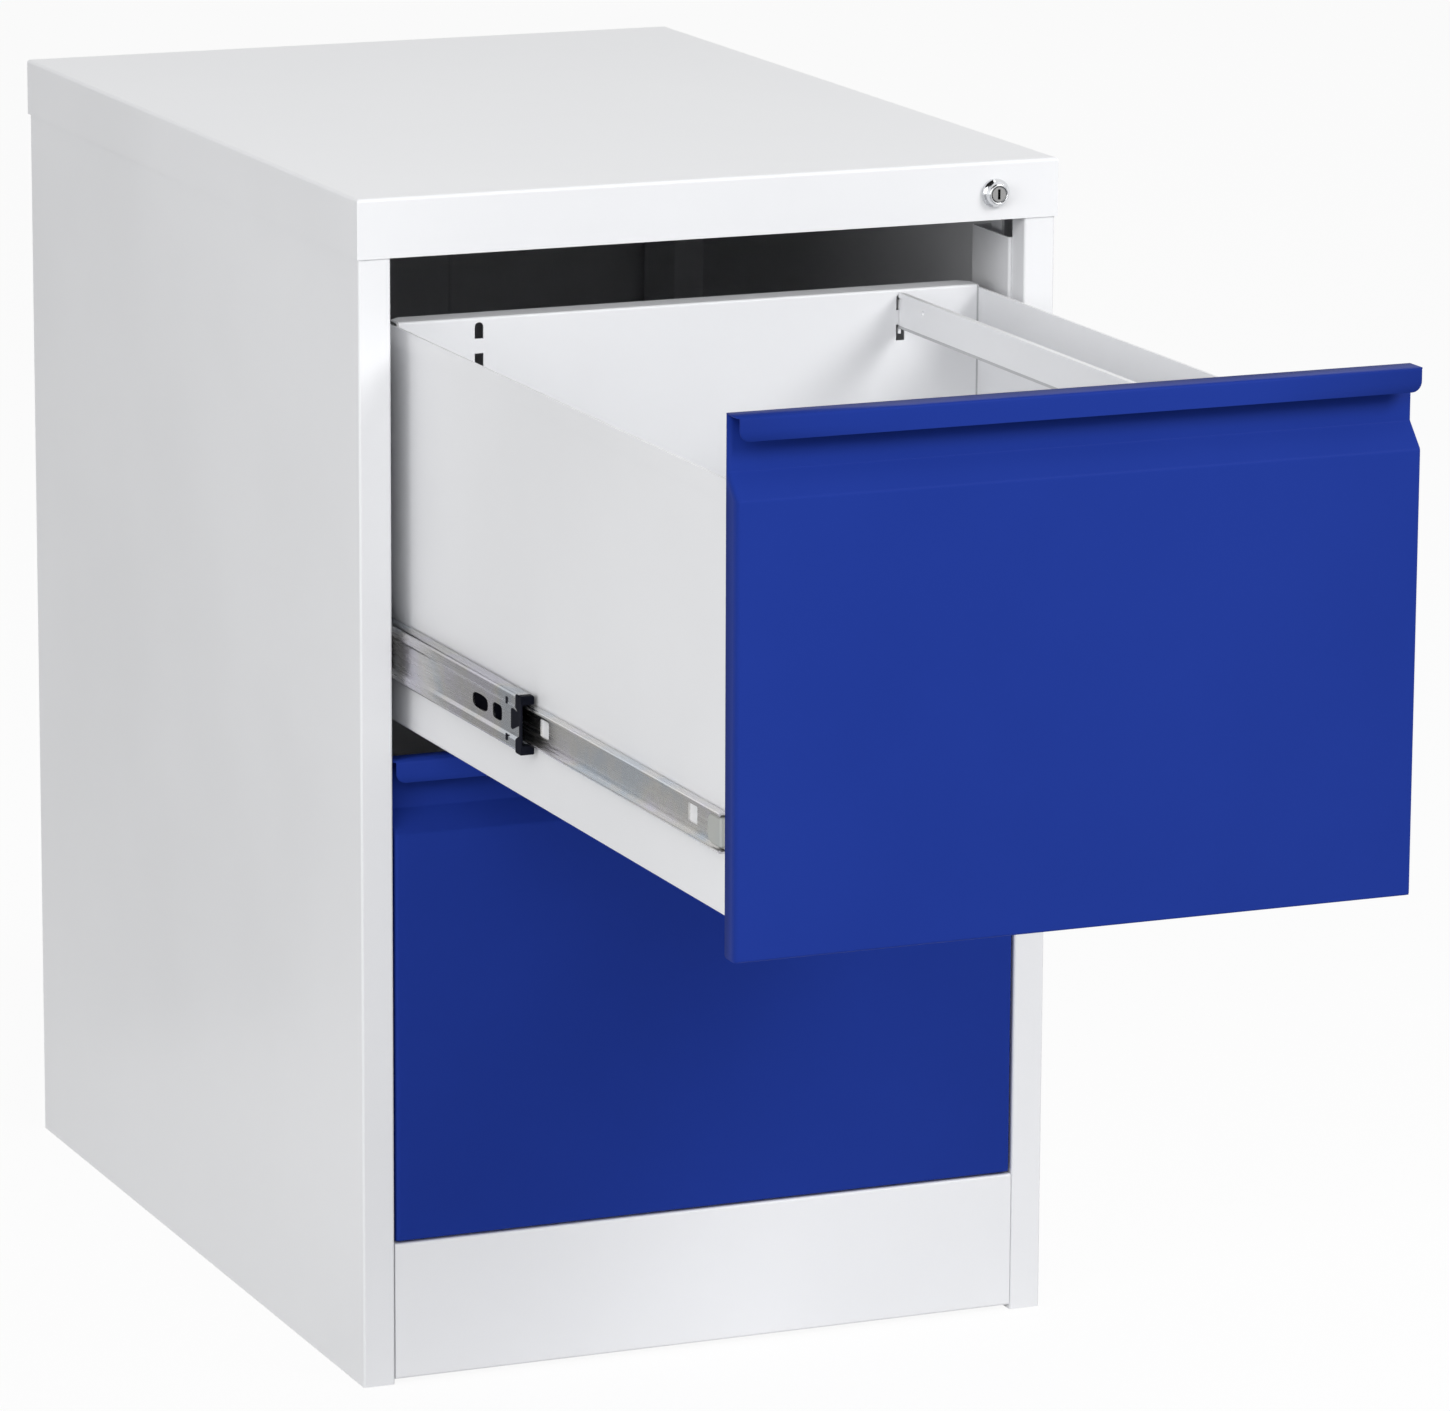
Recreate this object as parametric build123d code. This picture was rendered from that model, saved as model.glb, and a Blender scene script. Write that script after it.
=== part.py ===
from build123d import *
import os
from math import cos, radians, sin

# Two-drawer steel filing cabinet, in millimetres.
# X runs to the right, Y to the back, Z up. The origin is on the floor, under the middle of the body.
# The upper drawer stands open, the lower one is shut, and the lock is open.

# Body
body_width = 457.6
body_depth = 630.0
body_height = 738.0  # floor to the top of the cap
sheet = 0.9  # wall of the casing
fold = 1.6  # outer radius of a bend in the casing
stile_width = 20.5  # front post of a side panel
stile_return = 17.8
rear_flange = 15.0
top_flange = 15.0
weld_gap = 0.3  # between pieces that are spot welded side by side

# Cap
cap_overhang = 1.2
cap_skirt = 36.5
cap_fold = 2.2

# Plinth and base frame
plinth_top = 89.5
plinth_lift = 3.0
plinth_return = 18.0
plinth_seam = 0.5
base_height = 25.0
base_flange = 28.0
base_sheet = 1.2

# Back panel
back_sheet = 0.8
rib_width = 140.0  # raised field down the middle
rib_depth = 3.0

# Uprights
upright_depth = 22.5  # outer face of the body to the face that carries the slides
upright_width = 55.0
upright_sheet = 1.2
upright_top_gap = 15.0  # below the skirt of the cap
upright_slots_per_front = 4
upright_slot_width = 5.0
upright_slot_height = 16.0
upright_slot_inset = 42.5  # of the slots from the upright's outer edge

# Drawer fronts
front_gap = 1.5  # beside and below a front
front_parting = 2.0  # between the two fronts
front_top_gap = 4.5  # above the upper front
front_sheet = 0.9
front_depth = 16.5
lip_drop = 13.5
lip_corner = 6.0
lip_inset = 1.0
recess_depth = 13.0
recess_height = 32.0
slope_height = 14.0
front_bottom_return = 11.0
front_corner = 5.0
fixing_lip = 30.0  # turned-in edge with the tabs

# Drawer box
slide_space = 13.0  # upright face to drawer wall
box_sheet = 0.8
box_fold = 2.0
wall_lift = 14.0  # above the bottom of the front
wall_height = 245.0
hem_height = 12.5
box_rear_gap = 71.7  # behind the drawer's back wall
back_rise = 2.0
back_flange = 18.0
back_side_flange = 12.0
inner_front_inset = 1.5

# Hanging rail and the slots that hold it
rail_offset = 139.5
rail_height = 22.4
rail_sheet = 2.0
rail_hem = 3.4
rail_hem_height = 3.0
rail_end_gap = 0.5
slot_width = 5.7
slot_height = 10.0
slot_crown = 2.8
slot_drop = 3.0  # from the top of the back to the upper slot
slot_step = 19.0  # from one slot to the next
tongue_height = 6.0
tongue_reach = 2.2
hook_drop = 6.0  # of the lower tongue behind the wall
hole_radius = 1.6
hole_inset = 35.0  # from the back end

# Telescopic slides
slide_lift = 63.0  # slide centre above the bottom of the front
slide_sheet = 1.2
slide_setback = 34.0  # front end of the cabinet member behind the front plane
slide_rear_gap = 46.0  # behind the cabinet member
outer_half = 22.5
outer_reach = 10.0
outer_lip = 2.5
ball_diameter = 4.0
ball_play = 0.15
web_gap = 1.0  # between the webs of the cabinet and intermediate members
middle_reach = 12.0
middle_lip = 2.4
middle_setback = 34.0  # front end of the middle member behind that of the cabinet member
middle_shortfall = 50.0
web_step = 1.5
step_half = 8.5
step_run = 2.0
inner_tip = 6.6
inner_lip = 1.9
inner_setback = 2.0
inner_shortfall = 10.0
outer_roll = 2.4
middle_roll = 1.9
inner_roll = 1.3
cage_sheet = 0.5
outer_cage_start = 175.0
outer_cage_length = 120.0
outer_cage_reach = 8.2
inner_cage_start = 225.0
inner_cage_length = 100.0
inner_cage_reach = 11.4
cage_window = 4.4
ball_edge = 14.0  # of a ball from the end of its cage
outer_ball_u = 4.9  # of a ball's centre from the upright
inner_ball_u = 8.3

# Windows in the slide members: place behind the front plane, length and height
middle_windows = ((101.0, 14.0, 8.0), (132.0, 22.0, 8.0))
inner_window_places = (85.0, 309.0)
inner_window_length = 13.0
inner_window_height = 10.5
mount_hook_sheet = 2.0  # hooks that hold a cabinet member in the slots of the uprights
mount_hook_neck = 7.0
mount_hook_drop = 5.0
mount_hook_play = 0.2
end_pad_length = 15.0
end_pad_half = 9.0
end_pad_reach = 4.2

# Plastic end pieces of the intermediate members
bumper_front = 58.0
bumper_half = 18.0
bumper_reach = 10.3
bumper_play = 0.6
bumper_prong_length = 12.0
bumper_prong_height = 1.0

# Lock
lock_from_side = 41.7
lock_rise = 16.8  # above the bottom of the cap's skirt
lock_flange_radius = 9.0
lock_flange = 1.8
nose_base_radius = 8.0
nose_radius = 6.3
nose_reach = 7.0
barrel_radius = 7.75
barrel_depth = 18.0
barrel_hole_play = 0.1
plug_radius = 4.5
plug_play = 0.06
plug_recess = 0.5
plug_tail_radius = 3.5
keyway_width = 1.7
keyway_height = 6.4
keyway_depth = 12.0
lock_nut_width = 21.0
lock_nut_height = 4.0
cam_half = 6.5
cam_sheet = 2.0
cam_gap = 0.4
pin_radius = 2.0
pin_orbit = 9.0
pin_angle = 45.0  # above level while the lock is open; turning the key brings it as far below
pin_reach = 3.2
cam_nut_width = 8.0
cam_nut_height = 2.2

# Lock bar
bar_from_side = 12.5
bar_sheet = 1.5
bar_width = 16.0
bar_setback = 50.0
bar_bottom = 110.0
arm_gap = 0.5
arm_finger = 3.5
arm_start = 5.0  # of the fork's tips from the lock's axis
fork_depth = 8.0
fork_play = 0.5
hook_sheet = 2.5
hook_height = 14.0
hook_inset = 2.0  # of the hook behind the bar's front edge
hook_clear = 3.0  # between the hook's tip and the drawer wall
hook_lift = 2.0  # above the catch while the lock is open
hook_window_play = 2.0
hook_chamfer = 4.0
guide_places = (300.0, 620.0)
guide_height = 12.0
guide_margin = 4.0
guide_play = 0.35

# Catches on the drawers
catch_lift = 160.0  # top of a catch above the bottom of the front
catch_height = 12.0
catch_reach = 9.0
catch_length = 28.0
catch_sheet = 1.5
catch_gap = 1.0

# Tabs that hang the drawer fronts in slots of the inner fronts
tab_from_side = 22.0
tab_places = (60.0, 225.0)  # above the bottom of the front
tab_width = 14.0
tab_rise = 8.0
tab_play = 0.2

# Travel
slide_overlap = 24.0  # slide length less the drawer's travel
middle_share = 0.5
outer_cage_share = 0.25
inner_cage_share = 0.75

# Values that follow from the sizes above
half_width = body_width / 2
front_y = -body_depth / 2
rear_y = body_depth / 2
cap_bottom = body_height - cap_skirt
upright_x = half_width - upright_depth
wall_x = upright_x - slide_space
upright_front = front_y + stile_return + 0.5
upright_back = upright_front + upright_width
upright_top = cap_bottom - upright_top_gap
front_slot_y = upright_front + upright_slot_inset
rear_slot_y = -front_slot_y
lowest_front = plinth_top + front_gap
front_height = (cap_bottom - front_top_gap - lowest_front - front_parting) / 2
front_half = half_width - stile_width - front_gap
box_front = front_y + front_depth + box_sheet
box_back = rear_y - box_rear_gap
slide_length = body_depth - slide_setback - slide_rear_gap
middle_start = slide_setback + middle_setback
middle_length = slide_length - middle_shortfall
inner_start = slide_setback + inner_setback
inner_length = slide_length - inner_shortfall
travel = slide_length - slide_overlap
wall_top = wall_lift + wall_height
outer_inside = outer_half - slide_sheet
middle_half = outer_inside - ball_diameter - 2 * ball_play
middle_inside = middle_half - slide_sheet
inner_half = middle_inside - ball_diameter - 2 * ball_play
middle_u = slide_sheet + web_gap
outer_ball_v = (outer_inside + middle_half) / 2
inner_ball_v = (middle_inside + inner_half) / 2
lock_x = half_width - lock_from_side
lock_z = cap_bottom + lock_rise
skirt_y = front_y - cap_overhang
barrel_back = skirt_y + barrel_depth
cam_front = barrel_back + cam_gap
cam_back = cam_front + cam_sheet
arm_front = cam_back + arm_gap
pin_rise = pin_orbit * sin(radians(pin_angle))
bar_x = half_width - bar_from_side
bar_front = front_y + bar_setback
bar_travel = 2 * pin_rise
arm_half = pin_radius + fork_play + arm_finger
arm_top = lock_z + pin_rise + arm_half


def plan(z):
    """drawing plane seen from above: sections in X and Y, drawn out upwards"""
    return Plane((0, 0, z))


def facing(y):
    """drawing plane seen from the front: sections in X and Z, drawn out towards the front"""
    return Plane((0, y, 0), x_dir=(1, 0, 0), z_dir=(0, -1, 0))


def profile(x):
    """drawing plane seen from the side: sections in Y and Z, drawn out to the right"""
    return Plane((x, 0, 0), x_dir=(0, 1, 0), z_dir=(1, 0, 0))


def block(x0, x1, y0, y1, z0, z1):
    """box between two corners"""
    return Pos((x0 + x1) / 2, (y0 + y1) / 2, (z0 + z1) / 2) * Box(x1 - x0, y1 - y0, z1 - z0)


def rod(radius, y0, y1, x, z):
    """cylinder along Y"""
    return extrude(facing(y1) * Pos(x, z) * Circle(radius), amount=y1 - y0)


def folded(points, bends, wall, side, plane, length):
    """sheet bent along a line of points, with its wall on one side, drawn out from the plane"""
    path = FilletPolyline(*points, radius=bends)
    outline = path.offset_2d(wall, kind=Kind.INTERSECTION, side=side, closed=True)
    return extrude(plane * make_face(outline), amount=length)


def mirrored(shape):
    """the same piece for the other side of the cabinet"""
    return mirror(shape, about=Plane.YZ)


def fused(first, *others):
    """one solid made of touching pieces"""
    result = first
    for other in others:
        result = result + other
    return result


def cut(shape, tools):
    """shape less every tool"""
    for tool in tools:
        shape = shape - tool
    return shape


def save(name, *solids):
    """write one node, a single solid or a group of separate ones"""
    shape = solids[0] if len(solids) == 1 else Compound(children=list(solids))
    export_step(shape, f"parts/{name}.step")


# Casing
def under_cap(shape):
    """the shape with its outer top edges taken off, where the cap is folded"""
    form = block(-half_width, half_width, front_y, rear_y, 0, body_height - sheet)
    return shape & chamfer(form.edges().group_by(Axis.Z)[-1], cap_fold - cap_overhang)


def side_panel():
    """left panel: front post, return, outer skin, rear flange and top flange"""
    inner = -half_width + stile_width
    points = (
        (inner, front_y + stile_return),
        (inner, front_y),
        (-half_width, front_y),
        (-half_width, rear_y),
        (-half_width + rear_flange, rear_y),
    )
    top = body_height - sheet
    skin = folded(points, fold, sheet, Side.RIGHT, plan(0), top)
    flange = block(
        -half_width + sheet, -half_width + top_flange,
        front_y + stile_return + fold, rear_y - rear_flange, top - sheet, top,
    )
    return under_cap(fused(skin, flange))


def top_cap():
    """shallow tray turned upside down, mitred at its corners, with a hole for the lock"""
    wide, deep = half_width + cap_overhang, body_depth / 2 + cap_overhang

    def shell(inset, radius):
        x, y, top = wide - inset, deep - inset, body_height - inset
        form = block(-x, x, -y, y, cap_bottom, top)
        return fillet(form.edges().group_by(Axis.Z)[-1], radius)

    tray = shell(0, cap_fold) - shell(sheet, cap_fold - sheet)
    return tray - rod(barrel_radius + barrel_hole_play, skirt_y - 1, skirt_y + 2, lock_x, lock_z)


def back_panel():
    """flat sheet with a raised field down the middle, inside the rear flanges of the sides"""
    edge, y, half = half_width - fold - weld_gap, rear_y - sheet, rib_width / 2
    points = [(-edge, y), (-half, y), (-half + rib_depth, y - rib_depth)]
    points += [(-x, y) for x, y in reversed(points)]
    return under_cap(folded(points, fold, back_sheet, Side.RIGHT, plan(0), body_height - sheet))


def plinth():
    """kick panel between the stiles, with a return above and below and closed ends"""
    edge = half_width - stile_width - plinth_seam
    low, high, back = plinth_lift, plinth_top, front_y + plinth_return
    points = ((back, high), (front_y, high), (front_y, low), (back, low))
    panel = folded(points, fold, sheet, Side.LEFT, profile(-edge), 2 * edge)
    ends = [
        block(x, x + sheet, front_y + sheet, back, low + sheet, high - sheet) for x in (-edge, edge - sheet)
    ]
    return fused(panel, *ends)


def base_frame():
    """welded ring of angle that the cabinet stands on"""
    wide = half_width - sheet
    low_y, high_y = front_y + plinth_return + 1, rear_y - sheet - back_sheet - rib_depth - weld_gap
    ring = block(-wide, wide, low_y, high_y, 0, base_height)
    room = block(
        -wide + base_sheet, wide - base_sheet, low_y + base_sheet, high_y - base_sheet,
        base_sheet, base_height + 1,
    )
    window = block(
        -wide + base_flange, wide - base_flange, low_y + base_flange, high_y - base_flange,
        -1, base_sheet + 1,
    )
    return cut(ring, [room, window])


def upright(front, slot_y):
    """left channel between floor and cap, with a row of slots for the slides"""
    back = front + upright_width
    points = (
        (-half_width + sheet, front),
        (-upright_x, front),
        (-upright_x, back),
        (-half_width + sheet, back),
    )
    channel = folded(points, fold, upright_sheet, Side.LEFT, plan(base_height), upright_top - base_height)
    pitch = (front_height + front_parting) / upright_slots_per_front
    slots = []
    for step in range(-1, 2 * upright_slots_per_front - 1):
        z = lowest_front + slide_lift + step * pitch
        slots.append(block(
            -upright_x - upright_sheet - 1, -upright_x + 1,
            slot_y - upright_slot_width / 2, slot_y + upright_slot_width / 2,
            z - upright_slot_height / 2, z + upright_slot_height / 2,
        ))
    return cut(channel, slots)


# Telescopic slides. In their sections u runs from the upright to the drawer, v is height above the centre.
def slide_plane(y, z):
    """section plane of a left slide, drawn out towards the front"""
    return Plane((-upright_x, y, z), x_dir=(1, 0, 0), z_dir=(0, -1, 0))


def rail_section(points, bends, side, start, length, z, wall=slide_sheet):
    """length of slide rail that begins at start behind the front plane"""
    return folded(points, bends, wall, side, slide_plane(front_y + start + length, z), length)


def windows(places, length, height, z):
    """tools for openings in a web, cut right across the slide"""
    return [
        block(
            -upright_x - 1, -upright_x + slide_space, front_y + y - length / 2, front_y + y + length / 2,
            z - height / 2, z + height / 2,
        )
        for y in places
    ]


def cabinet_member(z):
    """widest rail, fixed to the uprights"""
    tip = outer_half - outer_lip
    points = ((outer_reach, tip), (outer_reach, outer_half), (0, outer_half))
    points += tuple((u, -v) for u, v in reversed(points))
    bends = (0, outer_roll, outer_roll, 0)
    rail = rail_section(points, bends, Side.LEFT, slide_setback, slide_length, z)
    hooks = []
    low = z - upright_slot_height / 2 + mount_hook_play
    behind = -upright_x - upright_sheet - mount_hook_play
    for y in (front_slot_y, rear_slot_y):
        y0, y1 = y - mount_hook_sheet / 2, y + mount_hook_sheet / 2
        hooks.append(block(behind - mount_hook_sheet, -upright_x, y0, y1, low, low + mount_hook_neck))
        hooks.append(block(behind - mount_hook_sheet, behind, y0, y1, low - mount_hook_drop, low))
    return fused(rail, *hooks)


def intermediate_member(z):
    """middle rail with a stepped web"""
    tip = middle_half - middle_lip
    points = (
        (middle_reach, tip), (middle_reach, middle_half), (middle_u, middle_half),
        (middle_u, step_half + step_run), (middle_u + web_step, step_half),
    )
    points += tuple((u, -v) for u, v in reversed(points))
    bends = (0, middle_roll, 0, 0, 0, 0, middle_roll, 0)
    rail = rail_section(points, bends, Side.LEFT, middle_start, middle_length, z)
    tools = []
    for place, length, height in middle_windows:
        tools += windows((place,), length, height, z)
    return cut(rail, tools)


def drawer_member(z):
    """narrowest rail, on the drawer wall, with a pad at its front end"""
    tip = inner_half - inner_lip
    points = ((inner_tip, tip), (inner_tip, inner_half), (slide_space, inner_half))
    points += tuple((u, -v) for u, v in reversed(points))
    bends = (inner_roll, 0, 0, inner_roll)
    rail = rail_section(points, bends, Side.RIGHT, inner_start, inner_length, z)
    rail = cut(rail, windows(inner_window_places, inner_window_length, inner_window_height, z))
    web = -upright_x + slide_space - slide_sheet
    pad = block(
        web - end_pad_reach, web, front_y + inner_start, front_y + inner_start + end_pad_length,
        z - end_pad_half, z + end_pad_half,
    )
    pad = chamfer(pad.edges().filter_by(Axis.X), end_pad_half / 4)
    return fused(rail, pad)


def bumper(z):
    """plastic end piece of the middle rail, open towards the drawer for the narrow rail"""
    inside = inner_half + bumper_play
    left = -upright_x + slide_sheet + web_gap / 2
    right = left + bumper_reach
    back = front_y + middle_start
    body = block(left, right, front_y + bumper_front, back, z - bumper_half, z + bumper_half)
    body = chamfer(body.edges().filter_by(Axis.Y), bumper_play)
    throat = block(
        -upright_x + inner_tip - bumper_play, right + 1, front_y + bumper_front - 1, back + 1,
        z - inside, z + inside,
    )
    prongs = []
    for sign in (-1, 1):
        near = z + sign * middle_half
        low, high = sorted((near, near + sign * bumper_prong_height))
        prongs.append(block(
            -upright_x + middle_u + middle_roll, -upright_x + middle_reach - middle_roll,
            back, back + bumper_prong_length, low, high,
        ))
    return fused(body - throat, *prongs)


def cage(z, start, length, near, reach, ball_u, ball_v):
    """strip that keeps the balls apart, with one window for each ball"""
    outer_v = ball_v + cage_sheet / 2
    points = ((reach, outer_v), (near, outer_v), (near, -outer_v), (reach, -outer_v))
    strip = rail_section(points, 0, Side.LEFT, start, length, z, cage_sheet)
    half = cage_window / 2
    x, tools = -upright_x + ball_u, []
    low, high = z - outer_v - 1, z + outer_v + 1
    for y in ball_places(start, length):
        middle = front_y + y
        tools.append(block(x - half, x + half, middle - half, middle + half, low, high))
    return cut(strip, tools)


def ball_places(start, length):
    """distance of a cage's balls behind the front plane"""
    return (start + ball_edge, start + length - ball_edge)


def balls(z, start, length, ball_u, ball_v):
    """balls of one cage, each given few faces"""
    size = ball_diameter
    corner = size / (2 + 2**0.5)
    form = chamfer(Box(size, size, size).edges(), corner)
    return [
        Pos(-upright_x + ball_u, front_y + y, z + sign * ball_v) * form
        for y in ball_places(start, length) for sign in (-1, 1)
    ]


# Drawer
def drawer_front(z):
    """outer front: finger pull along the top, flat face, side returns and turned-in fixing lips"""
    top, back = z + front_height, front_y + front_depth
    recess_y = front_y + recess_depth
    under = top - front_sheet
    grip = ((front_y, top - lip_drop), (front_y, top), (back, top))
    lip = folded(grip, fold, front_sheet, Side.RIGHT, profile(-front_half), 2 * front_half)
    lip = fillet(lip.edges().filter_by(Axis.Y).group_by(Axis.Z)[0], lip_corner)
    notches = [
        block(x - lip_inset, x + lip_inset, front_y - 1, front_y + fold, top - lip_drop - 1, top - fold)
        for x in (-front_half, front_half)
    ]
    lip = cut(lip, notches)
    low = top - recess_height
    face_line = ((recess_y, under), (recess_y, low), (front_y, low - slope_height), (front_y, z))
    face_bends = (fold, fold * 2, fold)
    skin_points = face_line + ((front_y + front_bottom_return, z),)
    skin = folded(skin_points, face_bends, front_sheet, Side.LEFT, profile(-front_half), 2 * front_half)
    outline = face_line + ((back, z), (back, under))
    edge = FilletPolyline(*outline, radius=face_bends + (front_corner,))
    closing = Line(outline[-1], outline[0])
    end = extrude(profile(-front_half) * make_face([*edge.edges(), closing]), amount=front_sheet)
    x0, x1 = -front_half + front_sheet, -front_half + fixing_lip
    strip = block(x0, x1, back - front_sheet, back, z + front_corner, under)
    x0 = -front_half + tab_from_side - tab_width / 2
    x1 = x0 + tab_width
    behind = back + box_sheet
    for low in (z + height for height in tab_places):
        neck = block(x0, x1, back - front_sheet, behind + front_sheet, low, low + front_sheet)
        tab = block(x0, x1, behind, behind + front_sheet, low, low + tab_rise)
        strip = fused(strip, neck, tab)
    return fused(lip, skin, end, mirrored(end), strip, mirrored(strip))


def rail_slots(y0, y1, z, crown):
    """tools for the paired slots that a hanging rail hooks into; the upper one is rounded by crown"""
    tools, half = [], slot_width / 2
    upper_top = z + wall_top + back_rise - slot_drop
    lower_top = upper_top - slot_step
    for x in (-rail_offset, rail_offset):
        upper = block(x - half, x + half, y0, y1, upper_top - slot_height, upper_top)
        if crown:
            upper = fillet(upper.edges().filter_by(Axis.Y).group_by(Axis.Z)[-1], crown)
        tools += [upper, block(x - half, x + half, y0, y1, lower_top - slot_height, lower_top)]
    return tools


def inner_front(z):
    """front wall of the drawer box, behind the outer front"""
    edge, back = front_half - inner_front_inset, front_y + front_depth
    plate = block(
        -edge, edge, back, back + box_sheet, z + inner_front_inset, z + front_height - inner_front_inset,
    )
    holes = []
    for side in (-1, 1):
        x, half = side * (front_half - tab_from_side), tab_width / 2 + tab_play
        for low in (z + height - tab_play for height in tab_places):
            holes.append(block(x - half, x + half, back - 1, back + 2, low, low + tab_rise + 2 * tab_play))
    return cut(plate, rail_slots(back - 1, back + box_sheet + 1, z, 0) + holes)


def drawer_tray(z):
    """both side walls and the floor, folded from one sheet, with hemmed top edges"""
    low, high = z + wall_lift, z + wall_top
    points = ((-wall_x, high), (-wall_x, low), (wall_x, low), (wall_x, high))
    back = box_back + back_side_flange
    tray = folded(points, box_fold, box_sheet, Side.LEFT, facing(back), back - box_front)
    hem = block(-wall_x - box_sheet, -wall_x, box_front, back, high - hem_height, high)
    return fused(tray, hem, mirrored(hem))


def drawer_back(z):
    """back wall with a top flange, two side flanges and the slots for the hanging rail"""
    edge = wall_x - box_sheet
    low, high = z + wall_lift + box_sheet, z + wall_top + back_rise
    points = ((box_back, low), (box_back, high), (box_back + back_flange, high))
    plate = folded(points, fold, box_sheet, Side.RIGHT, profile(-edge), 2 * edge)
    corners = []
    for x in (-edge, edge):
        corners.append(Pos(x, box_back + back_flange, high) * Rot(0, 0, 45) * Box(10, 10, 3))
        corners.append(Pos(x, box_back, low) * Rot(0, 45, 0) * Box(box_fold, 3, box_fold))
    plate = cut(plate, corners + rail_slots(box_back - 1, box_back + box_sheet + 1, z, slot_crown))
    flange = block(
        -edge, -edge + box_sheet, box_back + box_sheet, box_back + back_side_flange,
        low + box_fold, high - back_rise - fold,
    )
    return fused(plate, flange, mirrored(flange))


def hanging_rail(z):
    """flat bar between the front and back walls, hooked into their slots"""
    first, last = box_front + rail_end_gap, box_back - rail_end_gap
    top = z + wall_top
    bar = block(
        rail_offset - rail_sheet / 2, rail_offset + rail_sheet / 2, first, last, top - rail_height, top,
    )
    hem = block(
        rail_offset - rail_hem / 2, rail_offset + rail_hem / 2, first, last, top - rail_hem_height, top,
    )
    hole_place = profile(rail_offset) * Pos(last - hole_inset, top - rail_height / 3)
    x0, x1 = rail_offset - rail_sheet / 2, rail_offset + rail_sheet / 2
    tongues = []
    for near, sign in ((first, -1), (last, 1)):
        behind = near + sign * (rail_end_gap + box_sheet + rail_end_gap)
        far = behind + sign * tongue_reach
        neck_y, barb_y = sorted((near, far)), sorted((behind, far))
        upper = top + back_rise - slot_drop - slot_height
        tongues.append(block(x0, x1, *neck_y, upper, upper + tongue_height))
        lower = top + back_rise - slot_drop - slot_step
        tongues.append(block(x0, x1, *neck_y, top - rail_height, lower))
        tongues.append(block(x0, x1, *barb_y, lower - hook_drop, lower))
    return fused(bar, hem, *tongues) - hole_place * Cylinder(hole_radius, 2 * rail_sheet)


def drawer_catch(z):
    """bracket on the right wall that the lock bar's hook blocks"""
    y = bar_front + hook_inset + hook_sheet + catch_gap
    points = ((wall_x + catch_reach, y), (wall_x, y), (wall_x, y + catch_length))
    low = z + catch_lift - catch_height
    return folded(points, fold, catch_sheet, Side.RIGHT, plan(low), catch_height)


# Lock and lock bar
def hexagon(width, y0, y1, bore):
    """six-sided nut along Y on the lock's axis"""
    face = RegularPolygon(width / 2, 6, major_radius=False) - Circle(bore)
    return extrude(facing(y1) * Pos(lock_x, lock_z) * face, amount=y1 - y0)


def lock_barrel():
    """housing turned from bar, with a flange and a tapered nose"""
    nose_y = skirt_y - nose_reach
    bore = plug_radius + plug_play
    section = Polyline(
        (bore, nose_y), (nose_radius, nose_y), (nose_base_radius, skirt_y - lock_flange),
        (lock_flange_radius, skirt_y - lock_flange), (lock_flange_radius, skirt_y),
        (barrel_radius, skirt_y), (barrel_radius, barrel_back), (bore, barrel_back), close=True,
    )
    return Pos(lock_x, 0, lock_z) * revolve(Plane.XY * make_face(section), Axis.Y)


def lock_plug():
    """turning cylinder with a keyway, and a thinner tail for the cam"""
    first = skirt_y - nose_reach + plug_recess
    body = rod(plug_radius, first, barrel_back, lock_x, lock_z)
    tail = rod(plug_tail_radius, barrel_back, cam_back + cam_nut_height, lock_x, lock_z)
    keyway = block(
        lock_x - keyway_width / 2, lock_x + keyway_width / 2, first - 1, first + keyway_depth,
        lock_z - keyway_height / 2, lock_z + keyway_height / 2,
    )
    return fused(body, tail) - keyway


def lock_cam():
    """crank on the plug's tail, with the pin that lifts the lock bar"""
    middle = (pin_orbit + pin_radius - cam_half / 2) / 2
    place = facing(cam_back) * Pos(lock_x, lock_z) * Rot(0, 0, pin_angle) * Pos(middle, 0)
    outline = Rectangle(2 * (middle + cam_half), 2 * cam_half)
    outline = chamfer(outline.vertices(), cam_half / 2)
    plate = extrude(place * outline, amount=cam_sheet)
    pin_x = lock_x + pin_orbit * cos(radians(pin_angle))
    pin = rod(pin_radius, cam_back, cam_back + pin_reach, pin_x, lock_z + pin_rise)
    return fused(plate, pin) - rod(plug_tail_radius, cam_front - 1, cam_back + 1, lock_x, lock_z)


def lock_bar():
    """flat steel strip inside the right front upright"""
    return block(bar_x, bar_x + bar_sheet, bar_front, bar_front + bar_width, bar_bottom, arm_top)


def lock_arm():
    """bent plate that carries the cam's motion over to the bar, with a fork for the crank pin"""
    low = arm_top - 2 * arm_half
    points = ((lock_x + arm_start, arm_front), (bar_x, arm_front), (bar_x, bar_front + bar_width))
    plate = folded(points, fold, bar_sheet, Side.LEFT, plan(low), 2 * arm_half)
    middle, half = arm_top - arm_half, pin_radius + fork_play
    fork = block(
        lock_x, lock_x + arm_start + fork_depth, arm_front - 1, arm_front + bar_sheet + 1,
        middle - half, middle + half,
    )
    return plate - fork


def lock_hook(z):
    """tab on the lock bar that comes down in front of a drawer's catch"""
    low, tip = z + catch_lift + hook_lift, wall_x + hook_clear
    tab = Polyline(
        (bar_x, low), (tip + hook_chamfer, low), (tip, low + hook_chamfer),
        (tip, low + hook_height), (bar_x, low + hook_height), close=True,
    )
    back = bar_front + hook_inset + hook_sheet
    return extrude(facing(back) * make_face(tab), amount=hook_sheet)


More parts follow.
